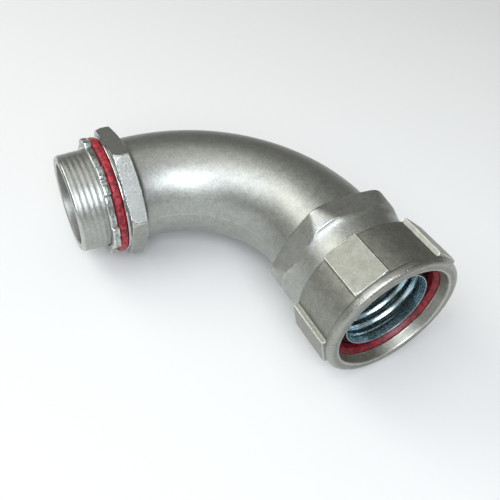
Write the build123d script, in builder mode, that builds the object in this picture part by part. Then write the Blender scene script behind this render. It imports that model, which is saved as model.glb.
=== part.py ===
from build123d import *
import math
import os

# Ninety degree liquidtight conduit connector, trade size 1 1/4, lying on its side.
# The threaded nose runs along X with its mouth towards -X, and the face of the hub that the
# box wall seats against is x = 0. The elbow bends in the XY plane, and the gland that takes
# the conduit opens towards -Y. Angles about either axis start in the XY plane on the outer
# side of the bend and turn towards +Z. Stations on the gland side are measured from the end
# of the bend, along -Y.

# Nose and hub of the elbow casting
nose_radius = 20.8
nose_full_radius = 21.1
nose_length = 19.35
nose_tip_chamfer = 0.6
nose_bore_radius = 17.4
hub_across_flats = 49.2
hub_corner_angle = 51.0
hub_length = 6.2
hub_front_chamfer = 0.9
hub_back_slope = 1.4
hub_foot_fillet = 1.8
hub_straight = 11.15

# Bend, which widens slightly towards the gland
bend_radius = 60.1
tube_radius_at_hub = 22.3
tube_radius_at_gland = 23.65
tube_wall = 4.2

# Gland end of the elbow casting
collar_across_flats = 53.6
collar_corner_round = 3.5
collar_start = 7.6
collar_back_slope = 2.2
collar_foot_fillet = 2.0
collar_back_radius = 30.2
collar_front = 15.1
collar_front_radius = 28.6
neck_start = 16.5
neck_start_radius = 26.45
neck_end_radius = 26.3
neck_fillet = 4.0
gland_thread_radius = 26.2
gland_thread_length = 14.0
gland_socket_radius = 21.9
gland_socket_depth = 11.6
gland_lip_chamfer = 0.8

# Gland nut
nut_seat = 25.6
nut_clearance = 0.3
nut_length = 22.7
nut_body_radius = 28.5
nut_ring_radius = 28.9
nut_ring_length = 2.9
nut_edge_round = 0.6
lug_count = 5
lug_corner_radius = 30.45
lug_half_angle = 13.1
lug_angle = 122.4
lug_edge_chamfer = 0.4
mouth_radius = 24.2
mouth_bevel = 0.5
mouth_depth = 4.0

# Sealing ring, held between the nut's lip and the end of the gland
seal_inner_radius = 21.85
seal_face_radius = 23.6
seal_bevel = 1.6
seal_clearance = 0.3

# Ferrule, a steel sleeve that screws into the conduit
ferrule_inner_radius = 17.75
ferrule_sheet = 0.9
ferrule_setback = 5.2
ferrule_flange_thickness = 1.1
ferrule_flange_clearance = 0.3

# Box side of the hub: retainer, gasket and locknut
stack_clearance = 0.15
full_thread_reach = 0.7
retainer_thickness = 1.3
retainer_radius = 24.9
gasket_thickness = 3.2
gasket_radius = 25.35
gasket_chamfer = 0.5
locknut_thickness = 3.0
locknut_body_radius = 23.7
locknut_lug_radius = 25.5
locknut_lug_count = 6
locknut_lug_half_angle = 13.0
locknut_lug_angle = 7.0
locknut_edge_chamfer = 0.35
thread_clearance = 0.1
loose_clearance = 0.25

# Worked out from the sizes above
gland_x = hub_straight + bend_radius
passage_radius_at_hub = tube_radius_at_hub - tube_wall
passage_radius_at_gland = tube_radius_at_gland - tube_wall
hub_corner_radius = hub_across_flats / 2 / math.cos(math.pi / 6)
collar_corner_radius = collar_across_flats / 2 / math.cos(math.pi / 6)
collar_end = nut_seat - nut_clearance
gland_end = collar_end + gland_thread_length
socket_floor = gland_end - gland_socket_depth
nut_front = nut_seat + nut_length
nut_bore_radius = gland_thread_radius + thread_clearance
seal_front = nut_front - mouth_depth - stack_clearance
seal_back = gland_end + stack_clearance
seal_bevel_height = seal_face_radius - seal_inner_radius
ferrule_end = nut_front - ferrule_setback
ferrule_outer_radius = ferrule_inner_radius + ferrule_sheet
retainer_front = -retainer_thickness
gasket_back = retainer_front - stack_clearance
gasket_front = gasket_back - gasket_thickness
locknut_back = gasket_front - stack_clearance
locknut_front = locknut_back - locknut_thickness
full_thread_length = full_thread_reach - locknut_front

gland_axis = Axis((gland_x, 0, 0), (0, -1, 0))
gland_profile = Plane(origin=(gland_x, -bend_radius, 0), x_dir=(0, -1, 0), z_dir=(0, 0, 1))


def nose_plane(x):
    """A plane across the nose at x, whose local X is +Y and local Y is +Z."""
    return Plane(origin=(x, 0, 0), x_dir=(0, 1, 0), z_dir=(1, 0, 0))


def gland_plane(station):
    """A plane across the gland at a station past the bend, local X is +X and local Y is +Z."""
    return Plane(origin=(gland_x, -bend_radius - station, 0), x_dir=(1, 0, 0), z_dir=(0, -1, 0))


# Bend centreline, a quarter circle from the hub's straight to the gland's
with BuildLine() as bend_path:
    CenterArc((hub_straight, -bend_radius), bend_radius, 90, -90)

# Hub: a hexagon turned to a cone at the front, and sloped and filleted down to the tube behind
hub_back = hub_length + hub_back_slope
hub_reach = hub_back + 2 * hub_foot_fillet
with BuildPart() as hub:
    with BuildSketch(nose_plane(0)):
        RegularPolygon(hub_corner_radius, 6, rotation=hub_corner_angle)
    extrude(amount=hub_reach)
    with BuildSketch(Plane.XY) as hub_turning:
        with BuildLine():
            Polyline(
                (0, 0),
                (0, hub_corner_radius - hub_front_chamfer),
                (3 * hub_front_chamfer, hub_corner_radius),
                (hub_length, hub_corner_radius),
                (hub_back, tube_radius_at_hub),
                (hub_reach, tube_radius_at_hub),
                (hub_reach, 0),
                close=True,
            )
        make_face()
        foot = hub_turning.vertices().sort_by_distance((hub_back, tube_radius_at_hub))[0]
        fillet(foot, hub_foot_fillet)
    revolve(axis=Axis.X, mode=Mode.INTERSECT)

# Collar: a hexagon whose rounded corners are turned to a slow cone, then a round neck that is
# filleted into the hexagon's front and ends at the gland nut
collar_back = collar_start - collar_back_slope
collar_reach = collar_back - 2 * collar_foot_fillet
with BuildPart() as collar:
    with BuildSketch(gland_plane(collar_reach)) as collar_hexagon:
        RegularPolygon(collar_corner_radius, 6)
        fillet(collar_hexagon.vertices(), collar_corner_round)
    extrude(amount=collar_end - collar_reach)
    with BuildSketch(gland_profile) as collar_turning:
        with BuildLine():
            Polyline(
                (collar_reach, 0),
                (collar_reach, tube_radius_at_gland),
                (collar_back, tube_radius_at_gland),
                (collar_start, collar_back_radius),
                (collar_front, collar_front_radius),
                (neck_start, neck_start_radius),
                (collar_end, neck_end_radius),
                (collar_end, 0),
                close=True,
            )
        make_face()
        foot = collar_turning.vertices().sort_by_distance((collar_back, tube_radius_at_gland))[0]
        fillet(foot, collar_foot_fillet)
        neck_corner = collar_turning.vertices().sort_by_distance((neck_start, neck_start_radius))[0]
        fillet(neck_corner, neck_fillet)
    revolve(axis=gland_axis, mode=Mode.INTERSECT)

# Elbow body: nose, hub, bend, collar and threaded gland in one casting, bored through
with BuildPart() as elbow_body:
    add(hub.part)
    add(collar.part)
    with BuildSketch(nose_plane(0)):
        Circle(tube_radius_at_hub)
    extrude(amount=hub_straight)
    with BuildSketch(nose_plane(hub_straight)):
        Circle(tube_radius_at_hub)
    with BuildSketch(gland_plane(0)):
        Circle(tube_radius_at_gland)
    sweep(path=bend_path.line, multisection=True)
    with BuildSketch(gland_plane(0)):
        Circle(tube_radius_at_gland)
    extrude(amount=collar_start)
    with BuildSketch(nose_plane(0)):
        Circle(nose_radius)
    extrude(amount=-nose_length)
    with BuildSketch(nose_plane(0)):
        Circle(nose_full_radius)
    extrude(amount=-full_thread_length)
    nose_tip = elbow_body.edges().filter_by(GeomType.CIRCLE).sort_by(Axis.X)[0]
    chamfer(nose_tip, nose_tip_chamfer)
    with BuildSketch(gland_plane(collar_end)):
        Circle(gland_thread_radius)
    extrude(amount=gland_thread_length)
    gland_lip = elbow_body.edges().filter_by(GeomType.CIRCLE).sort_by(Axis.Y)[0]
    chamfer(gland_lip, gland_lip_chamfer)
    with BuildSketch(nose_plane(-nose_length)):
        Circle(nose_bore_radius)
    extrude(amount=nose_length + hub_straight, mode=Mode.SUBTRACT)
    with BuildSketch(nose_plane(hub_straight)):
        Circle(passage_radius_at_hub)
    with BuildSketch(gland_plane(0)):
        Circle(passage_radius_at_gland)
    sweep(path=bend_path.line, multisection=True, mode=Mode.SUBTRACT)
    with BuildSketch(gland_plane(0)):
        Circle(passage_radius_at_gland)
    extrude(amount=gland_end, mode=Mode.SUBTRACT)
    with BuildSketch(gland_plane(socket_floor)):
        Circle(gland_socket_radius)
    extrude(amount=gland_socket_depth, mode=Mode.SUBTRACT)

# Gland nut: a ring with flat topped lugs for the wrench, turned smooth at its front
lug_width = 2 * lug_corner_radius * math.sin(math.radians(lug_half_angle))
lug_top = lug_corner_radius * math.cos(math.radians(lug_half_angle))
lug_length = nut_length - nut_ring_length
with BuildPart() as lugs:
    with BuildSketch(gland_plane(nut_seat)):
        with PolarLocations(0, lug_count, start_angle=lug_angle):
            with Locations((lug_top / 2, 0)):
                Rectangle(lug_top, lug_width)
    extrude(amount=lug_length)
    chamfer(lugs.faces().sort_by(Axis.Y)[0].outer_wire().edges(), lug_edge_chamfer)

with BuildPart() as gland_nut:
    add(lugs.part)
    with BuildSketch(gland_profile) as nut_turning:
        with BuildLine():
            Polyline(
                (nut_seat, 0),
                (nut_seat, nut_body_radius),
                (nut_front - nut_ring_length, nut_body_radius),
                (nut_front - nut_ring_length, nut_ring_radius),
                (nut_front, nut_ring_radius),
                (nut_front, 0),
                close=True,
            )
        make_face()
        rim = nut_turning.vertices().sort_by_distance((nut_front, nut_ring_radius))[0]
        fillet(rim, nut_edge_round)
    revolve(axis=gland_axis)
    with BuildSketch(gland_profile):
        with BuildLine():
            Polyline(
                (nut_seat, 0),
                (nut_seat, nut_bore_radius),
                (nut_front - mouth_depth, nut_bore_radius),
                (nut_front - mouth_depth, mouth_radius),
                (nut_front - mouth_bevel, mouth_radius),
                (nut_front, mouth_radius + mouth_bevel),
                (nut_front, 0),
                close=True,
            )
        make_face()
    revolve(axis=gland_axis, mode=Mode.SUBTRACT)

# Sealing ring: a square shouldered ring whose front is turned down towards the conduit
with BuildPart() as sealing_ring:
    with BuildSketch(gland_profile):
        with BuildLine():
            Polyline(
                (seal_back, seal_inner_radius),
                (seal_back, nut_bore_radius - seal_clearance),
                (seal_front, nut_bore_radius - seal_clearance),
                (seal_front, seal_face_radius),
                (seal_front - seal_bevel / 3, seal_face_radius - seal_bevel_height / 2),
                (seal_front - seal_bevel, seal_inner_radius),
                close=True,
            )
        make_face()
    revolve(axis=gland_axis)

# Ferrule: a flanged steel sleeve that stands in the gland's socket
sleeve_start = socket_floor + ferrule_flange_thickness
with BuildPart() as ferrule:
    with BuildSketch(gland_profile):
        with BuildLine():
            Polyline(
                (socket_floor, ferrule_inner_radius),
                (socket_floor, gland_socket_radius - ferrule_flange_clearance),
                (sleeve_start, gland_socket_radius - ferrule_flange_clearance),
                (sleeve_start, ferrule_outer_radius),
                (ferrule_end, ferrule_outer_radius),
                (ferrule_end, ferrule_inner_radius),
                close=True,
            )
        make_face()
    revolve(axis=gland_axis)

# Gasket retainer: a thin steel washer between the hub and the gasket
with BuildPart() as gasket_retainer:
    with BuildSketch(nose_plane(retainer_front)):
        Circle(retainer_radius)
        Circle(nose_full_radius + loose_clearance, mode=Mode.SUBTRACT)
    extrude(amount=retainer_thickness)

# Gasket: a soft ring with a rounded rim
with BuildPart() as gasket:
    with BuildSketch(Plane.XY) as gasket_section:
        with BuildLine():
            Polyline(
                (gasket_front, nose_full_radius + loose_clearance),
                (gasket_front, gasket_radius),
                (gasket_back, gasket_radius),
                (gasket_back, nose_full_radius + loose_clearance),
                close=True,
            )
        make_face()
        chamfer(gasket_section.vertices().group_by(Axis.Y)[-1], gasket_chamfer)
    revolve(axis=Axis.X)

# Locknut: a flat steel ring with square lugs round its edge
locknut_lug_width = 2 * locknut_lug_radius * math.sin(math.radians(locknut_lug_half_angle))
with BuildPart() as locknut:
    with BuildSketch(nose_plane(locknut_front)):
        with PolarLocations(0, locknut_lug_count, start_angle=locknut_lug_angle):
            with Locations((locknut_lug_radius / 2, 0)):
                Rectangle(locknut_lug_radius, locknut_lug_width)
        Circle(locknut_lug_radius, mode=Mode.INTERSECT)
        Circle(locknut_body_radius)
        Circle(nose_full_radius + thread_clearance, mode=Mode.SUBTRACT)
    extrude(amount=locknut_thickness)
    chamfer(locknut.faces().sort_by(Axis.X)[0].outer_wire().edges(), locknut_edge_chamfer)

os.makedirs("parts", exist_ok=True)
elbow_body.part.label = "elbow_body"
gland_nut.part.label = "gland_nut"
sealing_ring.part.label = "sealing_ring"
ferrule.part.label = "ferrule"
gasket_retainer.part.label = "gasket_retainer"
gasket.part.label = "gasket"
locknut.part.label = "locknut"
export_step(elbow_body.part, "parts/elbow_body.step")
export_step(gland_nut.part, "parts/gland_nut.step")
export_step(sealing_ring.part, "parts/sealing_ring.step")
export_step(ferrule.part, "parts/ferrule.step")
export_step(gasket_retainer.part, "parts/gasket_retainer.step")
export_step(gasket.part, "parts/gasket.step")
export_step(locknut.part, "parts/locknut.step")
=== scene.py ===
"""Ninety degree liquidtight conduit connector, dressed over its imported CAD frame.

Every new piece is a surface of rings. A ring lies across the elbow's centreline at a station,
which is the distance along that line from the hub's seat, and its points are placed by their
angle and radius. Angles start on the outer side of the bend and turn towards +Z. A band is two
arrays, the stations and the radii of some rings, with a row for each ring and a column for each
angle.
"""

import math

import bpy
import numpy as np
from mathutils import Matrix, Vector


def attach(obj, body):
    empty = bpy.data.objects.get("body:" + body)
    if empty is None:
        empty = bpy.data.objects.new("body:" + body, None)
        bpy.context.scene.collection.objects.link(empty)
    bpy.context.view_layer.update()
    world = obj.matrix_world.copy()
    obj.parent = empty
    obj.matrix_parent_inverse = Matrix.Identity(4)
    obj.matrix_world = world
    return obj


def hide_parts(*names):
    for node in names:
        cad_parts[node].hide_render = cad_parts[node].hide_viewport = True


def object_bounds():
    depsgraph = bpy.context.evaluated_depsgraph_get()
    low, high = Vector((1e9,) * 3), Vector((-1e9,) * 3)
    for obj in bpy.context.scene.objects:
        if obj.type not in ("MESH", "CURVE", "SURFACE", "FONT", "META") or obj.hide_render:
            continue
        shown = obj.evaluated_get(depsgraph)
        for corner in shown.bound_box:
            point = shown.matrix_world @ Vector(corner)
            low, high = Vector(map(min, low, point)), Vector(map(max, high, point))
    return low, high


bl_info = {
    "name": "Liquidtight conduit connector",
    "version": (1, 0, 0),
    "blender": (4, 5, 0),
    "location": "View3D > Sidebar > Connector",
    "description": "Builds a plated ninety degree conduit connector over its CAD frame",
    "category": "Add Mesh",
}

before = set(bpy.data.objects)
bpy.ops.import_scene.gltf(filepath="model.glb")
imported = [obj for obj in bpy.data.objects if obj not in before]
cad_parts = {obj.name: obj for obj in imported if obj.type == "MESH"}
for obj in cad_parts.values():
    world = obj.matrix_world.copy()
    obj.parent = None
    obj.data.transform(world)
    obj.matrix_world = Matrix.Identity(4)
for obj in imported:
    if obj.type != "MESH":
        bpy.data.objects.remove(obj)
cad_low, cad_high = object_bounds()

MM = 0.001
TURN = 2 * math.pi
UP = np.array([0.0, 0.0, 1.0])

# Centreline: straight from the mouth of the nose to the bend, a quarter circle, straight again
HUB_STRAIGHT = 11.15 * MM
BEND_RADIUS = 60.1 * MM
BEND_END = HUB_STRAIGHT + BEND_RADIUS * math.pi / 2
COLLAR_END = BEND_END + 25.3 * MM
NUT_BACK = BEND_END + 25.6 * MM
SOCKET_FLOOR = BEND_END + 27.7 * MM
GLAND_END = BEND_END + 39.3 * MM
NUT_FRONT = BEND_END + 48.3 * MM

# Pitches in millimetres: eleven and a half threads to the inch on the nose, sixteen on the gland
NOSE_PITCH = 2.209
GLAND_PITCH = 1.5875

# A pipe thread widens by one in sixteen across its diameter, so by half of that on its radius
NOSE_TAPER = 1 / 32

# Angle of the first corner of each hexagon, in degrees
HUB_CORNER = 51
COLLAR_CORNER = 0

# Edges that turn by more than this many degrees are shaded sharp
SHARPEST_SMOOTH = 40

# Unevenness of a cast skin: waves round the tube, radians per millimetre along it, and phase
SKIN_WAVES = ((3, 0.13, 0), (5, -0.09, 1), (2, 0.31, 2), (7, 0.21, 4))

# Nearly all values of a noise texture lie between these two
NOISE_LOW = 0.3
NOISE_HIGH = 0.7

# A Mix node's sockets for colours are named as those for numbers are, so they go by number
FACTOR, FIRST, SECOND, MIXED = 0, 6, 7, 2

# Zinc rubbed bright on the edges
RUBBED_ZINC = "#EFEFEC"

# Soft boxes: name, direction from the part, width in metres, power in watts, colour. One is over
# the camera, one high at its left, one high behind the part, and three fill in from all round.
SOFT_BOXES = (
    ("key_box", (-0.28, -0.68, 0.68), 0.72, 10.8, "#F0F5FF"),
    ("left_box", (-0.63, -0.02, 0.77), 0.84, 6.2, "#F6FAFF"),
    ("window_box", (-0.48, 0.61, 0.63), 0.66, 4.3, "#FCFCF6"),
    ("front_box", (0.4, -0.8, 0.45), 0.6, 0.7, "#E8F1FF"),
    ("low_box", (-0.5, -0.8, 0.3), 0.6, 0.8, "#F0F6FF"),
    ("overhead_box", (0.0, 0.1, 0.99), 1.0, 2.2, "#FFFFFA"),
)
BOX_DISTANCE = 1.2
ROOM_COLOUR = "#E6E6E2"
ROOM_STRENGTH = 0.3
FLOOR_HALF_WIDTH = 3.0


def linear(code):
    """Linear colour of an sRGB hex code: each channel c is c / 12.92 up to 0.04045, and
    ((c + 0.055) / 1.055) to the power 2.4 above it."""
    channels = np.array([int(code[n:n + 2], 16) for n in (1, 3, 5)]) / 255
    low = channels / 12.92
    high = ((channels + 0.055) / 1.055) ** 2.4
    return tuple(float(c) for c in np.where(channels <= 0.04045, low, high))


def per_metre(size_mm):
    """Noise scale whose features are about size_mm millimetres across."""
    return 1000 / size_mm


def length(name, description, value_mm):
    """A length property, given in millimetres."""
    return bpy.props.FloatProperty(
        name=name, description=description, default=value_mm * MM, min=0, unit="LENGTH", precision=5
    )


def colour(name, description, code):
    """A colour property, given as an sRGB hex code."""
    return bpy.props.FloatVectorProperty(
        name=name, description=description, default=linear(code), size=3, min=0, max=1,
        subtype="COLOR",
    )


class CastingSettings(bpy.types.PropertyGroup):
    """Sizes and colours of the elbow casting."""

    nose_radius: length("Nose radius", "Radius of the nose thread at the mouth", 20.8)
    nose_full_radius: length("Full thread radius", "Radius of the nose thread at the hub", 21.1)
    nose_length: length("Nose length", "From the hub's seat to the mouth of the nose", 19.35)
    nose_bore: length("Nose bore", "Radius of the bore through the nose", 17.4)
    nose_pitch: length("Nose thread pitch", "Eleven and a half threads to the inch", NOSE_PITCH)
    nose_thread: length("Nose thread depth", "Depth of the worn and plated thread", 0.09)
    hub_flats: length("Hub flats", "Hexagon of the hub, across its flats", 49.2)
    hub_seat_radius: length("Hub seat radius", "Outer edge of the face on the box wall", 27.5)
    hub_turned_radius: length("Hub turned radius", "Where the hub's corners are turned off", 28.41)
    tube_start_radius: length("Tube radius at the hub", "Outside of the bend", 22.3)
    tube_end_radius: length("Tube radius at the collar", "Outside of the bend", 23.65)
    collar_flats: length("Collar flats", "Hexagon of the collar, across its flats", 53.6)
    collar_back_radius: length("Collar back radius", "Wide end of the turned corners", 30.2)
    collar_front_radius: length("Collar front radius", "Narrow end of the turned corners", 28.6)
    neck_start_radius: length("Neck start radius", "Round neck, at the collar", 26.45)
    neck_end_radius: length("Neck end radius", "Round neck, at the nut", 26.3)
    gland_radius: length("Gland thread radius", "Crest of the thread under the nut", 26.2)
    gland_pitch: length("Gland thread pitch", "Sixteen threads to the inch", GLAND_PITCH)
    gland_thread: length("Gland thread depth", "From the crest to the root", 0.85)
    socket_radius: length("Socket radius", "Where the gland holds the ferrule's flange", 21.9)
    passage_start_radius: length("Passage radius at the hub", "Inside of the bend", 18.1)
    passage_end_radius: length("Passage radius at the gland", "Inside of the bend", 19.45)
    waviness: length("Waviness", "How far the cast skin wanders from true", 0.015)
    seam_height: length("Seam height", "Dressed parting line of the casting", 0.1)
    seam_width: length("Seam half width", "Half of the width of the parting line", 0.45)
    light: colour("Light patches", "Plating where the cast skin is open", "#B0B2AD")
    dark: colour("Dark patches", "Plating where the cast skin is dull", "#A4A6A0")


class NutSettings(bpy.types.PropertyGroup):
    """Sizes and colours of the compression nut."""

    body_radius: length("Body radius", "Radius between the lugs", 28.5)
    ring_radius: length("Front ring radius", "Radius of the plain ring in front of the lugs", 28.9)
    face_radius: length("Front face radius", "Where the front face ends and the bevel starts", 26.7)
    lug_top: length("Lug top", "From the axis to the flat top of a lug", 29.66)
    lug_half_width: length("Lug half width", "Half of a lug's width", 6.9)
    lug_count: bpy.props.IntProperty(
        name="Lugs", description="Number of wrench lugs", default=5, min=3, max=12
    )
    lug_angle: bpy.props.FloatProperty(
        name="Lug angle", description="Where the first lug stands", subtype="ANGLE",
        default=math.radians(122.4)
    )
    mouth_radius: length("Mouth radius", "Radius of the mouth that the conduit enters", 24.2)
    bore_radius: length("Bore radius", "Crest of the thread that holds the gland", 26.3)
    thread_depth: length("Thread depth", "From the crest to the root", 0.8)
    waviness: length("Waviness", "How far the cast skin wanders from true", 0.05)
    light: colour("Light patches", "Plating where the cast skin is open", "#989990")
    dark: colour("Dark patches", "Plating where the cast skin is dull", "#8A8B83")


class SealSettings(bpy.types.PropertyGroup):
    """Sizes and colours of the sealing ring."""

    inner_radius: length("Inner radius", "Where the ring grips the conduit", 21.85)
    face_radius: length("Face radius", "Outer edge of the turned down front", 22.95)
    outer_radius: length("Outer radius", "Radius inside the nut", 26.0)
    unevenness: length("Unevenness", "How far the soft inner edge wanders", 0.09)
    red: colour("Red", "The moulded ring", "#8E1524")
    shade: colour("Shade", "Its dark blotches", "#4A0812")


class FerruleSettings(bpy.types.PropertyGroup):
    """Sizes and colours of the rolled ferrule."""

    inner_radius: length("Inner radius", "Bore of the sleeve", 17.75)
    sheet: length("Sheet", "Thickness of the steel", 0.9)
    flange_radius: length("Flange radius", "Radius of the flange in the gland's socket", 21.6)
    pitch: length("Roll pitch", "Lead of the rolled screw thread", 4.0)
    roll: length("Roll height", "How far the roll stands out", 0.75)
    roll_width: length("Roll half width", "Half of the width of the roll", 1.1)
    steel: colour("Steel", "Bright bluish zinc", "#D4E3E8")
    shade: colour("Shade", "Where the plating is thin", "#A4C1C8")


class BoxSideSettings(bpy.types.PropertyGroup):
    """Sizes and colours of the locknut, gasket and retainer on the nose."""

    locknut_radius: length("Locknut radius", "Body of the locknut between its lugs", 23.7)
    locknut_lug_radius: length("Locknut lug radius", "Outer end of a locknut lug", 25.5)
    locknut_lug_half_width: length("Locknut lug half width", "Half of a lug's width", 5.74)
    locknut_notch: length("Locknut notch", "Depth of the notch in each lug", 0.7)
    locknut_bore: length("Locknut bore", "Crest of the locknut's thread", 21.2)
    gasket_radius: length("Gasket radius", "Outer radius of the red gasket", 25.3)
    gasket_bore: length("Gasket bore", "Inner radius of the red gasket", 21.4)
    gasket_unevenness: length("Gasket unevenness", "How far its soft rim wanders", 0.1)
    retainer_radius: length("Retainer radius", "Outer radius of the steel retainer", 24.9)
    retainer_bore: length("Retainer bore", "Inner radius of the steel retainer", 21.35)
    steel: colour("Steel", "Zinc on the stamped locknut and the retainer", "#BDC4C0")
    # This darker zinc goes on in random cloudy patches laid by noise, as on the other plated pieces;
    # nothing places it in the hollows
    shade: colour("Shade", "Darker zinc in the stamping's hollows", "#6E7672")
    red: colour("Red", "The moulded gasket", "#B01C2C")
    red_shade: colour("Red shade", "Its dark blotches", "#5A0713")


class StageSettings(bpy.types.PropertyGroup):
    """The camera and the floor."""

    lens: bpy.props.FloatProperty(
        name="Lens", description="Focal length on a 36 mm sensor", default=38.605, unit="CAMERA"
    )
    azimuth: bpy.props.FloatProperty(
        name="Azimuth", description="Where the camera stands round the part", subtype="ANGLE",
        default=math.radians(-32.3126)
    )
    elevation: bpy.props.FloatProperty(
        name="Elevation", description="Height of the camera over the floor", subtype="ANGLE",
        default=math.radians(45.4153)
    )
    roll: bpy.props.FloatProperty(
        name="Roll", description="Turn of the camera about its own axis", subtype="ANGLE",
        default=math.radians(6.1264)
    )
    distance: length("Distance", "From the camera to its target", 216.468)
    target: bpy.props.FloatVectorProperty(
        name="Target", description="What the middle of the picture looks at", size=3,
        default=(0.03906, -0.054857, 0), subtype="TRANSLATION", unit="LENGTH"
    )
    floor: colour("Floor", "Matte white board", "#E2E2E0")


def path_frame(stations):
    """Centre of each ring, and the direction from it to the outer side of the bend.
    The centre goes along +X to the bend, then round a quarter circle, then along -Y."""
    angle = np.clip((stations - HUB_STRAIGHT) / BEND_RADIUS, 0, math.pi / 2)
    before = np.minimum(stations, HUB_STRAIGHT)
    after = np.maximum(stations - BEND_END, 0)
    flat = np.zeros_like(stations)
    centre = np.stack(
        [before + BEND_RADIUS * np.sin(angle), BEND_RADIUS * (np.cos(angle) - 1) - after, flat], -1
    )
    across = np.stack([np.sin(angle), np.cos(angle), flat], -1)
    return centre, across


def smooth_min(first, second, reach):
    """The smaller of two heights, blended where they differ by less than reach."""
    share = np.clip(0.5 + 0.5 * (second - first) / reach, 0, 1)
    return second + (first - second) * share - reach * share * (1 - share)


def smooth_max(first, second, reach):
    """The larger of two heights, blended where they differ by less than reach."""
    return -smooth_min(-first, -second, reach)


def soft_step(value, low, high):
    """0 below low, 1 above high, and 3 t^2 - 2 t^3 between them."""
    share = np.clip((value - low) / (high - low), 0, 1)
    return share * share * (3 - 2 * share)


def between(value, start, full, fall, end):
    """A soft step up from start to full, times a soft step down from fall to end."""
    return soft_step(value, start, full) * (1 - soft_step(value, fall, end))


def rounded(corners, closed=False, cuts=5):
    """Stations and radii along a profile. Each corner is (station, radius, rounding, step) in
    millimetres: the corner becomes an arc of that rounding, and the straight run after it is
    cut into pieces no longer than step. An arc ends before the next corner."""
    longest_share = 0.85
    spots = np.array([complex(corner[0], corner[1]) for corner in corners])
    count = len(spots)
    arcs = []
    for n, spot in enumerate(spots):
        arc = np.array([spot])
        rounding = corners[n][2]
        if rounding > 0 and (closed or 0 < n < count - 1):
            back = spots[n - 1] - spot
            ahead = spots[(n + 1) % count] - spot
            half = abs(np.angle(ahead / back)) / 2
            longest = longest_share * min(abs(back), abs(ahead))
            reach = min(rounding / math.tan(half), longest)
            back = back / abs(back)
            ahead = ahead / abs(ahead)
            middle = spot + (back + ahead) / abs(back + ahead) * reach / math.cos(half)
            start = spot + back * reach - middle
            turn = np.angle((spot + ahead * reach - middle) / start)
            arc = middle + start * np.exp(1j * turn * np.linspace(0, 1, cuts + 1))
        arcs.append(arc)
    line = []
    for n in range(count):
        line.append(arcs[n])
        if closed or n < count - 1:
            first = arcs[n][-1]
            last = arcs[(n + 1) % count][0]
            pieces = max(1, math.ceil(abs(last - first) / corners[n][3]))
            line.append(first + (last - first) * np.arange(1, pieces) / pieces)
    line = np.concatenate(line) * MM
    return line.real, line.imag


def turned(profile, angles):
    """A band whose stations and radii are the profile's at every angle."""
    stations, radii = profile
    return stations[:, None] + 0 * angles, radii[:, None] + 0 * angles


def face(station, start, end, steps, angles):
    """A band across a flat face, its radius going from start to end, without the last ring."""
    share = (np.arange(steps) / steps)[:, None]
    start = np.broadcast_to(start, angles.shape)
    end = np.broadcast_to(end, angles.shape)
    return np.full((steps, angles.size), station), start + (end - start) * share


def but_first(band):
    """The band without its first ring, which the band before it already has."""
    stations, radii = band
    return stations[1:], radii[1:]


def spread(count, centres=(), pull=0.0, width=1.0):
    """Angles of the columns, closer together near the centres, in degrees. Their density is
    1 plus pull times a bell of that width at each centre."""
    samples = 14400
    fine = np.arange(samples + 1) * TURN / samples
    gaps = fine[:-1, None] - np.radians(np.array(centres)).reshape(1, -1)
    gaps = np.angle(np.exp(1j * gaps))
    density = 1 + pull * np.exp(-(gaps / math.radians(width)) ** 2).sum(1)
    total = np.concatenate([[0], np.cumsum(density)])
    return np.interp(np.arange(count) / count, total / total[-1], fine)


def hexagon(angles, across_flats, corner, reach):
    """Radius of a hexagon at each angle: the nearer of the two flats that meet at the closest
    corner, each across_flats / 2 over the cosine of its angle, blended over reach."""
    gap = (angles - corner + TURN / 12) % (TURN / 6) - TURN / 12
    return smooth_min(
        across_flats / 2 / np.cos(gap - TURN / 12), across_flats / 2 / np.cos(gap + TURN / 12), reach
    )


def lug_sides(angles, first, count, top, half_width, draft):
    """Angle from the middle of the nearest lug, and the radius of that lug's side planes. A side
    plane leans out towards the lug's foot by draft, so its radius is (half width + top * draft)
    over (sine + draft * cosine) of the angle."""
    gap = (angles - first + TURN / 2 / count) % (TURN / count) - TURN / 2 / count
    side = (half_width + top * draft) / (np.abs(np.sin(gap)) + draft * np.cos(gap))
    return gap, side


def thread(stations, angles, pitch):
    """Share of a thread's depth, 0 at the crest and 1 in the groove, as half of one minus the
    cosine of the turn. The crest moves one pitch along for each turn, right-handed."""
    return 0.5 - 0.5 * np.cos(TURN * stations / pitch - angles)


def wander(stations, angles, amount):
    """Slow unevenness of a cast skin: the mean of four sines of angle and station."""
    waves = 0
    for around, along, phase in SKIN_WAVES:
        waves = waves + np.sin(around * angles + along * stations / MM + phase)
    return amount * waves / len(SKIN_WAVES)


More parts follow.
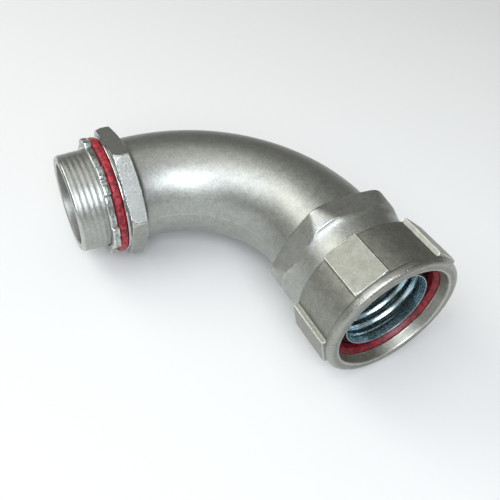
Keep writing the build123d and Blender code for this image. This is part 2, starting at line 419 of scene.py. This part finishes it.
def ring_surface(name, bands, angles, body, nodes, material):
    """A closed surface of rings. Point (i, j) is centre(s) + r (cos a across + sin a up), with
    s, a and r at ring i and column j. The last ring joins the first, and so do the columns."""
    stations = np.vstack([band[0] for band in bands])
    radii = np.vstack([band[1] for band in bands])
    centre, across = path_frame(stations)
    out = np.cos(angles)[None, :, None] * across + np.sin(angles)[None, :, None] * UP
    points = centre + radii[..., None] * out
    rings, columns = radii.shape
    i = np.arange(rings)[:, None]
    j = np.arange(columns)[None, :]
    after_i = (i + 1) % rings
    after_j = (j + 1) % columns
    faces = np.stack(
        [i * columns + j, i * columns + after_j, after_i * columns + after_j, after_i * columns + j],
        -1,
    ).reshape(-1, 4)
    mesh = bpy.data.meshes.new(name)
    mesh.vertices.add(rings * columns)
    mesh.vertices.foreach_set("co", points.astype(np.float32).ravel())
    mesh.loops.add(faces.size)
    mesh.loops.foreach_set("vertex_index", faces.astype(np.int32).ravel())
    mesh.polygons.add(len(faces))
    mesh.polygons.foreach_set("loop_start", np.arange(0, faces.size, 4, dtype=np.int32))
    mesh.update(calc_edges=True)
    mesh.shade_smooth()
    mesh.set_sharp_from_angle(angle=math.radians(SHARPEST_SMOOTH))
    wear = mesh.attributes.new("wear", "FLOAT", "POINT")
    wear.data.foreach_set("value", edge_wear(points).astype(np.float32).ravel())
    mesh.materials.append(material)
    piece = bpy.data.objects.new(name, mesh)
    bpy.context.scene.collection.objects.link(piece)
    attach(piece, body)
    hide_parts(*nodes)
    return piece


def edge_wear(points):
    """How strongly the surface bulges at each point, from 0 on flat ground to 1 on a worn edge:
    the normals' spread over the points' spread, summed over the four neighbours on the grid of
    rings, halved, and times the radius of an edge that counts as fully worn."""
    worn_edge = 0.6 * MM
    least_gap = 0.1 * MM
    along = np.roll(points, -1, 0) - np.roll(points, 1, 0)
    around = np.roll(points, -1, 1) - np.roll(points, 1, 1)
    normal = np.cross(around, along)
    normal /= np.maximum(np.linalg.norm(normal, axis=-1, keepdims=True), 1e-12)
    bulge = np.zeros(points.shape[:2])
    for axis in (0, 1):
        for step in (-1, 1):
            gap = np.roll(points, step, axis) - points
            turn = np.roll(normal, step, axis) - normal
            bulge += (gap * turn).sum(-1) / np.maximum((gap * gap).sum(-1), least_gap ** 2)
    return np.clip(bulge / 2 * worn_edge, 0, 1)


def add_node(tree, kind, sockets=None, **settings):
    """Adds one node. Settings are its attributes. Sockets maps an input's name or number to a
    value, or to another node's output, which is linked."""
    node = tree.nodes.new(kind)
    for key, value in settings.items():
        setattr(node, key, value)
    for key, value in (sockets or {}).items():
        if isinstance(value, bpy.types.NodeSocket):
            tree.links.new(value, node.inputs[key])
        else:
            node.inputs[key].default_value = value
    return node


def new_material(name):
    """An empty node material, with its tree and its output."""
    material = bpy.data.materials.new(name)
    material.use_nodes = True
    tree = material.node_tree
    tree.nodes.clear()
    return material, tree, tree.nodes.new("ShaderNodeOutputMaterial")


def plated_metal(name, light, dark, rough, grain_mm, relief_mm, cloud_mm, rubbed=0.35, speck=0.2):
    """Zinc electroplate on iron or steel, passed through a clear chromate dip. The eye gets a
    soft grey metal whose shine is broken by the grain under the plating, cloudy patches of
    lighter and duller grey, and brighter, smoother metal where edges have been rubbed. Grain
    and clouds are given by their size and relief by its depth, all in millimetres."""
    # How far the grain makes the metal duller and shinier than its mean roughness
    swing = 0.06
    material, tree, output = new_material(name)
    place = add_node(tree, "ShaderNodeTexCoord").outputs["Object"]
    cloud = add_node(
        tree, "ShaderNodeTexNoise",
        {"Vector": place, "Scale": per_metre(cloud_mm), "Detail": 4.0, "Roughness": 0.62},
    )
    # Real grain, about 0.3 mm on a sand casting and 0.1 mm on rolled steel, is too fine to show
    # in the render, so each piece asks for the coarser grain that it needs
    grain = add_node(
        tree, "ShaderNodeTexNoise",
        {"Vector": place, "Scale": per_metre(grain_mm), "Detail": 5.0, "Roughness": 0.65},
    )
    patch = add_node(
        tree, "ShaderNodeMapRange",
        {"Value": cloud.outputs[0], "From Min": NOISE_LOW, "From Max": NOISE_HIGH,
         "To Min": 0.0, "To Max": 1.0},
        interpolation_type="SMOOTHSTEP",
    )
    # The specks darken the plating by half as much again as they brighten it
    speckle = add_node(
        tree, "ShaderNodeMapRange",
        {"Value": grain.outputs[0], "From Min": NOISE_LOW, "From Max": NOISE_HIGH,
         "To Min": 1 - 1.2 * speck, "To Max": 1 + 0.8 * speck},
    )
    plate = add_node(
        tree, "ShaderNodeMix", {FACTOR: patch.outputs[0], FIRST: (*dark, 1), SECOND: (*light, 1)},
        data_type="RGBA",
    )
    grained = add_node(
        tree, "ShaderNodeMix", {FACTOR: 1.0, FIRST: plate.outputs[MIXED], SECOND: speckle.outputs[0]},
        data_type="RGBA", blend_type="MULTIPLY",
    )
    wear = add_node(tree, "ShaderNodeAttribute", attribute_name="wear")
    rub = add_node(
        tree, "ShaderNodeMapRange",
        {"Value": wear.outputs["Fac"], "From Min": 0.1, "From Max": 0.8,
         "To Min": 0.0, "To Max": rubbed},
    )
    coloured = add_node(
        tree, "ShaderNodeMix",
        {FACTOR: rub.outputs[0], FIRST: grained.outputs[MIXED], SECOND: (*linear(RUBBED_ZINC), 1)},
        data_type="RGBA",
    )
    dull = add_node(
        tree, "ShaderNodeMapRange",
        {"Value": grain.outputs[0], "From Min": NOISE_LOW, "From Max": NOISE_HIGH,
         "To Min": rough - swing, "To Max": rough + swing},
    )
    smooth = add_node(
        tree, "ShaderNodeMath", {0: dull.outputs[0], 1: rub.outputs[0]},
        operation="SUBTRACT", use_clamp=True,
    )
    bump = add_node(
        tree, "ShaderNodeBump",
        {"Strength": 1.0, "Distance": relief_mm * MM, "Height": grain.outputs[0]},
    )
    shader = add_node(
        tree, "ShaderNodeBsdfPrincipled",
        {
            "Base Color": coloured.outputs[MIXED],
            "Metallic": 1.0,
            "Roughness": smooth.outputs[0],
            "Normal": bump.outputs[0],
        },
    )
    tree.links.new(shader.outputs[0], output.inputs[0])
    return material


def moulded_rubber(name, red, shade, relief_mm):
    """Nitrile rubber moulded in colour, wiped with a little oil. The eye gets a deep saturated
    red with firm dark blotches where dust and oil lie, and a soft sheen that the moulded skin
    breaks up."""
    blotch_mm = 1.6
    # The real skin is grained at about 0.1 mm, too fine to show, so it is drawn coarser
    skin_mm = 0.7
    material, tree, output = new_material(name)
    place = add_node(tree, "ShaderNodeTexCoord").outputs["Object"]
    blotch = add_node(
        tree, "ShaderNodeTexNoise",
        {"Vector": place, "Scale": per_metre(blotch_mm), "Detail": 3.0, "Roughness": 0.55},
    )
    skin = add_node(
        tree, "ShaderNodeTexNoise",
        {"Vector": place, "Scale": per_metre(skin_mm), "Detail": 4.0, "Roughness": 0.6},
    )
    share = add_node(
        tree, "ShaderNodeMapRange",
        {"Value": blotch.outputs[0], "From Min": 0.4, "From Max": 0.6, "To Min": 0.0, "To Max": 1.0},
        interpolation_type="SMOOTHSTEP",
    )
    mix = add_node(
        tree, "ShaderNodeMix", {FACTOR: share.outputs[0], FIRST: (*shade, 1), SECOND: (*red, 1)},
        data_type="RGBA",
    )
    dull = add_node(
        tree, "ShaderNodeMapRange",
        {"Value": skin.outputs[0], "From Min": NOISE_LOW, "From Max": NOISE_HIGH,
         "To Min": 0.32, "To Max": 0.55},
    )
    bump = add_node(
        tree, "ShaderNodeBump",
        {"Strength": 1.0, "Distance": relief_mm * MM, "Height": skin.outputs[0]},
    )
    shader = add_node(
        tree, "ShaderNodeBsdfPrincipled",
        {
            "Base Color": mix.outputs[MIXED],
            "Roughness": dull.outputs[0],
            "IOR": 1.52,
            "Normal": bump.outputs[0],
        },
    )
    tree.links.new(shader.outputs[0], output.inputs[0])
    return material


def matte_board(name, white):
    """Painted white board, rolled matte, which the eye reads as an even pale ground."""
    material, tree, output = new_material(name)
    shader = add_node(
        tree, "ShaderNodeBsdfPrincipled", {"Base Color": (*white, 1), "Roughness": 0.9}
    )
    tree.links.new(shader.outputs[0], output.inputs[0])
    return material


class CONNECTOR_OT_casting(bpy.types.Operator):
    """Build the elbow casting: threaded nose, hexagonal hub, bend, collar and gland"""

    bl_idname = "connector.casting"
    bl_label = "Elbow casting"

    def execute(self, context):
        size = context.scene.connector_casting
        material = plated_metal(
            "zinc_plated_malleable_iron", size.light, size.dark,
            rough=0.37, grain_mm=0.7, relief_mm=0.11, cloud_mm=3.0,
        )
        corners = [corner + 60 * n for corner in (HUB_CORNER, COLLAR_CORNER) for n in range(6)]
        angles = spread(248, corners, pull=3.4, width=2.6)
        hub = hexagon(angles, size.hub_flats, math.radians(HUB_CORNER), reach=0.5 * MM)
        collar = hexagon(
            angles, size.collar_flats, math.radians(COLLAR_CORNER), reach=2.3 * MM
        )
        bands = []

        # Nose: a tapered thread, chamfered at the mouth and run out before the seat
        mouth = -size.nose_length
        chamfer = 0.6 * MM
        fine_end = -6 * MM
        s = np.concatenate([
            mouth + np.linspace(0, chamfer, 4, endpoint=False),
            np.linspace(mouth + chamfer, fine_end, 52, endpoint=False),
            np.linspace(fine_end, 0, 12, endpoint=False),
        ])[:, None] + 0 * angles
        crest = np.minimum(size.nose_radius + (s - mouth) * NOSE_TAPER, size.nose_full_radius)
        depth = size.nose_thread * (1 - soft_step(s, -5 * MM, -1.5 * MM))
        r = crest - depth * thread(s, angles, size.nose_pitch)
        r = smooth_min(r, size.nose_radius - chamfer + (s - mouth), 0.25 * MM)
        bands.append((s, r))

        # Hub, bend and collar: a flat seat, a hub turned to a slight cone and sloped back with a
        # filleted foot, the widening tube, and a collar turned to a slow cone before its neck
        seat = size.hub_seat_radius
        hub_top = size.hub_turned_radius / MM
        tube_start = size.tube_start_radius / MM
        tube_end = size.tube_end_radius / MM
        bend_start = HUB_STRAIGHT / MM
        bend_end = BEND_END / MM
        bands.append(
            face(0.0, size.nose_full_radius, smooth_min(hub, seat, 0.5 * MM), 5, angles)
        )
        s, r = turned(rounded([
            (0, seat / MM, 0, 0.3), (2.7, hub_top, 1.5, 0.8), (6.2, hub_top, 0.5, 0.42),
            (7.6, tube_start, 1.8, 1.0), (bend_start, tube_start, 0, 1.5),
            (bend_end, tube_end, 0, 1.0), (bend_end + 5.4, tube_end, 2.0, 0.42),
            (bend_end + 7.6, size.collar_back_radius / MM, 0.9, 0.5),
            (bend_end + 15.1, size.collar_front_radius / MM, 0.4, 0.3),
            (bend_end + 16.5, size.neck_start_radius / MM, 4.0, 0.6),
            (COLLAR_END / MM, size.neck_end_radius / MM, 0, 1),
        ]), angles)
        near_hub = s < 0.5 * BEND_END
        r = np.where(near_hub, smooth_min(r, hub, 0.3 * MM), smooth_min(r, collar, 0.7 * MM))

        # Cast skin, and a dressed parting line along the outer and the inner side of the bend
        skin = between(s, 8 * MM, 12 * MM, COLLAR_END - 1 * MM, COLLAR_END)
        r = r + wander(s, angles, size.waviness) * skin
        seam = size.seam_height * np.exp(-(r * np.sin(angles) / size.seam_width) ** 2)
        r = r + seam * between(s, 10 * MM, 13 * MM, BEND_END + 3 * MM, BEND_END + 6 * MM)
        bands.append((s, r))

        # Gland: a step down to the thread's root, the thread, and a chamfered lip
        root = size.gland_radius - size.gland_thread
        bands.append(but_first(face(COLLAR_END, r[-1], root, 3, angles)))
        s = np.linspace(COLLAR_END, GLAND_END, 62)[:, None] + 0 * angles
        undercut = 1 - soft_step(s, COLLAR_END, COLLAR_END + 1.6 * MM)
        depth = size.gland_thread * np.maximum(thread(s, angles, size.gland_pitch), undercut)
        chamfered = size.gland_radius - 0.9 * MM + (GLAND_END - s)
        r = np.minimum(size.gland_radius - depth, chamfered)
        bands.append((s, r))
        bands.append(but_first(face(GLAND_END, r[-1], size.socket_radius, 4, angles)))

        # Inside: socket, floor, passage through the bend, and the bore of the nose
        socket = size.socket_radius / MM
        socket_floor = SOCKET_FLOOR / MM
        passage_end = size.passage_end_radius / MM
        bore = size.nose_bore / MM
        s, r = turned(rounded([
            (GLAND_END / MM, socket, 0, 2.5), (socket_floor, socket, 0.5, 0.9),
            (socket_floor, passage_end, 0.5, 3.0), (bend_end, passage_end, 0, 3.2),
            (bend_start, size.passage_start_radius / MM, 0.3, 1), (bend_start - 0.7, bore, 0.3, 3.2),
            (mouth / MM + 0.4, bore, 0.2, 1), (mouth / MM, bore + 0.4, 0, 1),
        ]), angles)
        skin = 1 - soft_step(s, BEND_END, BEND_END + 9 * MM)
        r = r + wander(s, angles + 1, size.waviness) * skin
        bands.append((s, r))
        bands.append(but_first(face(mouth, r[-1], bands[0][1][0], 4, angles)))
        ring_surface(
            "elbow_casting", bands, angles, "elbow", ["elbow_body"], material
        )
        return {"FINISHED"}


class CONNECTOR_OT_nut(bpy.types.Operator):
    """Build the compression nut with its flat topped wrench lugs"""

    bl_idname = "connector.nut"
    bl_label = "Compression nut"

    def execute(self, context):
        size = context.scene.connector_nut
        material = plated_metal(
            "zinc_plated_iron_nut", size.light, size.dark,
            rough=0.4, grain_mm=0.75, relief_mm=0.12, cloud_mm=3.5,
        )

        # The columns gather at the side planes, this many degrees from a lug's middle
        lug_edge = 13.6
        lug_step = 360 / size.lug_count
        edges = [
            math.degrees(size.lug_angle) + lug_step * n + side
            for n in range(size.lug_count) for side in (-lug_edge, lug_edge)
        ]
        angles = spread(340, edges, pull=14, width=1.1)
        back = NUT_BACK / MM
        front = NUT_FRONT / MM

        # Body: a turned back, the valleys between the lugs, and a plain ring with a round rim
        body_radius = size.body_radius / MM
        ring_radius = size.ring_radius / MM
        ring_start = front - 2.9
        s, body = turned(rounded([
            (back, body_radius - 0.4, 0, 0.2), (back + 0.5, body_radius, 0.4, 1.2),
            (ring_start - 0.5, body_radius, 0.2, 0.25), (ring_start + 0.1, ring_radius, 0.3, 0.5),
            (front, ring_radius, 2.0, 0.3), (front, size.face_radius / MM, 0, 1),
        ], cuts=6), angles)

        # Lugs: flat tops, leaning sides, and ends bevelled at the back and cut down at the ring
        gap, side = lug_sides(
            angles, size.lug_angle, size.lug_count, size.lug_top, size.lug_half_width, 0.12
        )
        lug = smooth_min(size.lug_top / np.cos(gap), side, 0.4 * MM)
        end_stations = (back + np.array([0, 0.6, 18.9, 19.5, 19.8, 20.1])) * MM
        end_radii = np.array([29.6, 30.6, 30.6, 30.0, 28.9, 27.0]) * MM
        ends = np.interp(s, end_stations, end_radii)
        raised = smooth_min(np.broadcast_to(lug, s.shape), ends, 0.3 * MM)
        r = smooth_max(body, raised, 0.35 * MM)
        r = np.where(s > NUT_FRONT - 2.2 * MM, body, r)
        r = r + wander(s, angles, size.waviness) * (1 - soft_step(s, NUT_FRONT - 4 * MM, NUT_FRONT))
        bands = [(s, r)]

        # Front face, bevelled mouth, the lip that presses on the sealing ring
        mouth = size.mouth_radius / MM
        lip = front - 4.0
        bore = size.bore_radius / MM
        s, r = turned(rounded([
            (front, size.face_radius / MM, 0, 0.9), (front, mouth + 0.3, 0.8, 0.5),
            (lip, mouth - 1.3, 0.2, 0.8), (lip, bore, 0, 1),
        ]), angles)
        bands.append((s[1:-1], r[1:-1]))

        # Threaded bore, whose crest clears the gland's crest, smooth where the ring sits
        s = np.linspace(lip * MM, NUT_BACK + 0.5 * MM, 66)[:, None] + 0 * angles
        depth = size.thread_depth * (1 - thread(s, angles, GLAND_PITCH * MM))
        depth = depth * (1 - soft_step(s, NUT_FRONT - 9.5 * MM, NUT_FRONT - 8.5 * MM))
        bands.append((s, size.bore_radius + depth))
        countersink = size.bore_radius + 0.9 * MM
        bands.append(face(NUT_BACK, countersink, bands[0][1][0], 3, angles))
        ring_surface("compression_nut", bands, angles, "nut", ["gland_nut"], material)
        return {"FINISHED"}


class CONNECTOR_OT_seal(bpy.types.Operator):
    """Build the red sealing ring inside the nut"""

    bl_idname = "connector.seal"
    bl_label = "Sealing ring"

    def execute(self, context):
        size = context.scene.connector_seal
        material = moulded_rubber("red_nitrile_seal", size.red, size.shade, relief_mm=0.08)
        angles = spread(240)
        back = GLAND_END / MM + 0.15
        front = NUT_FRONT / MM - 4.15
        outer = size.outer_radius / MM
        inner = size.inner_radius / MM
        s, r = turned(rounded([
            (back, outer, 0.3, 0.6), (front, outer, 0.3, 0.5),
            (front, size.face_radius / MM, 0.6, 0.3), (front - 1.9, inner, 0.9, 0.6),
            (back, inner, 0.4, 0.6),
        ], closed=True, cuts=6), angles)
        soft_edge = 1 - soft_step(r, 22.5 * MM, 24.5 * MM)
        r = r + wander(s, 4 * angles, size.unevenness) * soft_edge
        ring_surface(
            "sealing_ring_moulded", [(s, r)], angles, "seal", ["sealing_ring"], material
        )
        return {"FINISHED"}


class CONNECTOR_OT_ferrule(bpy.types.Operator):
    """Build the flanged steel ferrule with its rolled screw thread"""

    bl_idname = "connector.ferrule"
    bl_label = "Rolled ferrule"

    def execute(self, context):
        size = context.scene.connector_ferrule
        material = plated_metal(
            "bright_zinc_rolled_steel", size.steel, size.shade,
            rough=0.26, grain_mm=0.9, relief_mm=0.008, cloud_mm=5.0, rubbed=0.0, speck=0.06,
        )
        angles = spread(220)
        floor = SOCKET_FLOOR / MM
        end = NUT_FRONT / MM - 4.9
        flange = size.flange_radius / MM
        inner = size.inner_radius / MM
        outer = inner + size.sheet / MM
        s, r = turned(rounded([
            (floor, flange, 0.2, 0.5), (floor + 1.1, flange, 0.4, 1.0),
            (floor + 1.1, outer, 0.7, 0.22), (end - 1.4, outer, 0.5, 0.3),
            (end, inner + 0.3, 0.1, 0.1), (end, inner, 0.1, 0.22), (floor, inner, 0.6, 1.2),
        ], closed=True, cuts=4), angles)

        # Roll: a bell across a helix, which both walls follow, faded out at the flange and end
        turns = (s - NUT_FRONT + 18.5 * MM) / size.pitch - angles / TURN
        away = (turns - np.round(turns)) * size.pitch
        roll = np.exp(-(away / size.roll_width) ** 2)
        rolled = between(
            s, (floor + 2.0) * MM, (floor + 3.6) * MM, (end - 4.2) * MM, (end - 3.0) * MM
        )
        r = r + size.roll * roll * rolled
        ring_surface(
            "rolled_ferrule", [(s, r)], angles, "elbow", ["ferrule"], material
        )
        return {"FINISHED"}


class CONNECTOR_OT_box_side(bpy.types.Operator):
    """Build the retainer, the gasket and the locknut on the nose"""

    bl_idname = "connector.box_side"
    bl_label = "Retainer, gasket and locknut"

    def execute(self, context):
        size = context.scene.connector_box_side
        steel = plated_metal(
            "zinc_plated_stamped_steel", size.steel, size.shade,
            rough=0.34, grain_mm=0.5, relief_mm=0.03, cloud_mm=1.6, rubbed=0.5,
        )
        rubber = moulded_rubber("red_nitrile_gasket", size.red, size.red_shade, relief_mm=0.12)
        angles = spread(220)

        # Retainer: a thin washer with a rolled edge
        near, far = -0.05, -1.3
        outer = size.retainer_radius / MM
        inner = size.retainer_bore / MM
        band = turned(rounded([
            (far, outer, 0.4, 0.5), (near, outer, 0.3, 0.8), (near, inner, 0.2, 0.5),
            (far, inner, 0.3, 0.8),
        ], closed=True), angles)
        ring_surface(
            "gasket_retainer_washer", [band], angles,
            "elbow", ["gasket_retainer"], steel,
        )

        # Gasket: a soft ring, slightly uneven round its rim
        near, far = -1.45, -4.65
        outer = size.gasket_radius / MM
        inner = size.gasket_bore / MM
        s, r = turned(rounded([
            (far, outer, 1.1, 0.4), (near, outer, 1.1, 0.7), (near, inner, 0.4, 0.8),
            (far, inner, 0.4, 0.7),
        ], closed=True), angles)
        rim = soft_step(r, 23 * MM, 25 * MM)
        uneven = np.sin(11 * angles + 1)
        uneven = uneven + np.sin(17 * angles + 420 * s) + np.sin(29 * angles - 300 * s)
        r = r + rim * (uneven / 3 - 1) * size.gasket_unevenness
        ring_surface(
            "gasket_moulded", [(s, r)], angles, "gasket", ["gasket"], rubber
        )

        # Locknut: a stamped ring whose lugs are notched in the middle
        lug_count = 6
        first_lug = 7
        lug_edge = 13.4
        middles = [first_lug + 360 / lug_count * n for n in range(lug_count)]
        edges = [middle + side for middle in middles for side in (-lug_edge, 0, lug_edge)]
        angles = spread(300, edges, pull=5, width=1.8)
        gap, side = lug_sides(
            angles, math.radians(first_lug), lug_count, size.locknut_lug_radius,
            size.locknut_lug_half_width, 0.1,
        )
        tab = smooth_min(size.locknut_lug_radius + 0 * angles, side, 0.5 * MM)
        rim = smooth_max(size.locknut_radius + 0 * angles, tab, 0.5 * MM)
        rim = rim - size.locknut_notch * np.exp(-(gap * rim / (1.0 * MM)) ** 2)

        # Its rim from the far face to the near one, dropped at both edges, then its thread
        near, far = -4.8, -7.8
        across = far + np.array([0, 0.1, 0.25, 0.4, 1.0, 1.8, 2.6, 2.75, 2.9, 3.0])
        drop = np.array([0.4, 0.25, 0.08, 0, 0, 0, 0, 0.08, 0.22, 0.35]) * MM
        s = across[:, None] * MM + 0 * angles
        r = rim[None, :] - drop[:, None]
        bore = size.locknut_bore
        thread_depth = 0.5 * MM
        bore_s = np.linspace(near - 0.4, far + 0.4, 14)[:, None] * MM + 0 * angles
        bore_r = bore + thread_depth * (1 - thread(bore_s, angles, NOSE_PITCH * MM))
        bands = [
            face(far * MM, bore + 0.6 * MM, rim - 0.4 * MM, 5, angles),
            (s, r),
            but_first(face(near * MM, r[-1], bore + thread_depth, 5, angles)),
            (bore_s, bore_r),
        ]
        ring_surface(
            "locknut_stamped", bands, angles, "locknut", ["locknut"], steel
        )
        return {"FINISHED"}


def soft_light(name, direction, width, power, code):
    """A square area light at that direction from the middle of the part, turned towards it."""
    data = bpy.data.lights.new(name, "AREA")
    data.shape = "SQUARE"
    data.size = width
    data.energy = power
    data.color = linear(code)
    light = bpy.data.objects.new(name, data)
    back = Vector(direction).normalized()
    light.location = (cad_low + cad_high) / 2 + back * BOX_DISTANCE
    light.rotation_euler = back.to_track_quat("Z", "Y").to_euler()
    bpy.context.scene.collection.objects.link(light)


class CONNECTOR_OT_stage(bpy.types.Operator):
    """Set up the floor, the soft lights and the camera"""

    bl_idname = "connector.stage"
    bl_label = "Floor, lights and camera"

    def execute(self, context):
        size = context.scene.connector_stage
        scene = context.scene

        # Floor under the lowest point of the part
        half = FLOOR_HALF_WIDTH
        level = cad_low.z
        mesh = bpy.data.meshes.new("floor")
        mesh.from_pydata(
            [(-half, -half, level), (half, -half, level), (half, half, level), (-half, half, level)],
            [], [(0, 1, 2, 3)],
        )
        mesh.materials.append(matte_board("matte_white_board", size.floor))
        floor = bpy.data.objects.new("floor", mesh)
        scene.collection.objects.link(floor)

        # Lights, and the pale room that fills what they leave
        for box in SOFT_BOXES:
            soft_light(*box)
        world = bpy.data.worlds.new("studio")
        world.use_nodes = True
        room = world.node_tree.nodes["Background"]
        room.inputs["Color"].default_value = (*linear(ROOM_COLOUR), 1)
        room.inputs["Strength"].default_value = ROOM_STRENGTH
        scene.world = world
        scene.view_settings.view_transform = "Standard"

        # Camera: its right and up are turned by the roll about the line of sight
        az, el, roll = size.azimuth, size.elevation, size.roll
        back = Vector((math.sin(az) * math.cos(el), -math.cos(az) * math.cos(el), math.sin(el)))
        level_right = Vector((0, 0, 1)).cross(back).normalized()
        level_up = back.cross(level_right)
        right = level_right * math.cos(roll) + level_up * math.sin(roll)
        up = level_up * math.cos(roll) - level_right * math.sin(roll)
        place = Vector(size.target) + back * size.distance
        data = bpy.data.cameras.new("camera")
        data.sensor_width = 36.0
        data.lens = size.lens
        data.clip_start = 0.01
        data.clip_end = 20.0
        camera = bpy.data.objects.new("camera", data)
        camera.matrix_world = Matrix((
            (right.x, up.x, back.x, place.x),
            (right.y, up.y, back.y, place.y),
            (right.z, up.z, back.z, place.z),
            (0, 0, 0, 1),
        ))
        scene.collection.objects.link(camera)
        scene.camera = camera
        return {"FINISHED"}


class CONNECTOR_PT_panel(bpy.types.Panel):
    """Operators and settings of the connector, in the sidebar of the 3D view."""

    bl_label = "Conduit connector"
    bl_idname = "CONNECTOR_PT_panel"
    bl_space_type = "VIEW_3D"
    bl_region_type = "UI"
    bl_category = "Connector"

    def draw(self, context):
        for operator, group in STEPS:
            box = self.layout.box()
            box.operator(operator)
            settings = getattr(context.scene, group)
            for key in settings.bl_rna.properties.keys():
                if key not in ("rna_type", "name"):
                    box.prop(settings, key)


GROUPS = {
    "connector_casting": CastingSettings,
    "connector_nut": NutSettings,
    "connector_seal": SealSettings,
    "connector_ferrule": FerruleSettings,
    "connector_box_side": BoxSideSettings,
    "connector_stage": StageSettings,
}
OPERATORS = (
    CONNECTOR_OT_casting,
    CONNECTOR_OT_nut,
    CONNECTOR_OT_seal,
    CONNECTOR_OT_ferrule,
    CONNECTOR_OT_box_side,
    CONNECTOR_OT_stage,
)
STEPS = tuple((made.bl_idname, group) for made, group in zip(OPERATORS, GROUPS))


def register():
    for name, group in GROUPS.items():
        bpy.utils.register_class(group)
        setattr(bpy.types.Scene, name, bpy.props.PointerProperty(type=group))
    for made in OPERATORS:
        bpy.utils.register_class(made)
    bpy.utils.register_class(CONNECTOR_PT_panel)


def unregister():
    bpy.utils.unregister_class(CONNECTOR_PT_panel)
    for made in reversed(OPERATORS):
        bpy.utils.unregister_class(made)
    for name, group in reversed(list(GROUPS.items())):
        delattr(bpy.types.Scene, name)
        bpy.utils.unregister_class(group)


def main():
    """Registers the add-on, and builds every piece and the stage."""
    register()
    bpy.ops.connector.casting()
    bpy.ops.connector.nut()
    bpy.ops.connector.seal()
    bpy.ops.connector.ferrule()
    bpy.ops.connector.box_side()
    bpy.ops.connector.stage()


if __name__ == "__main__":
    main()
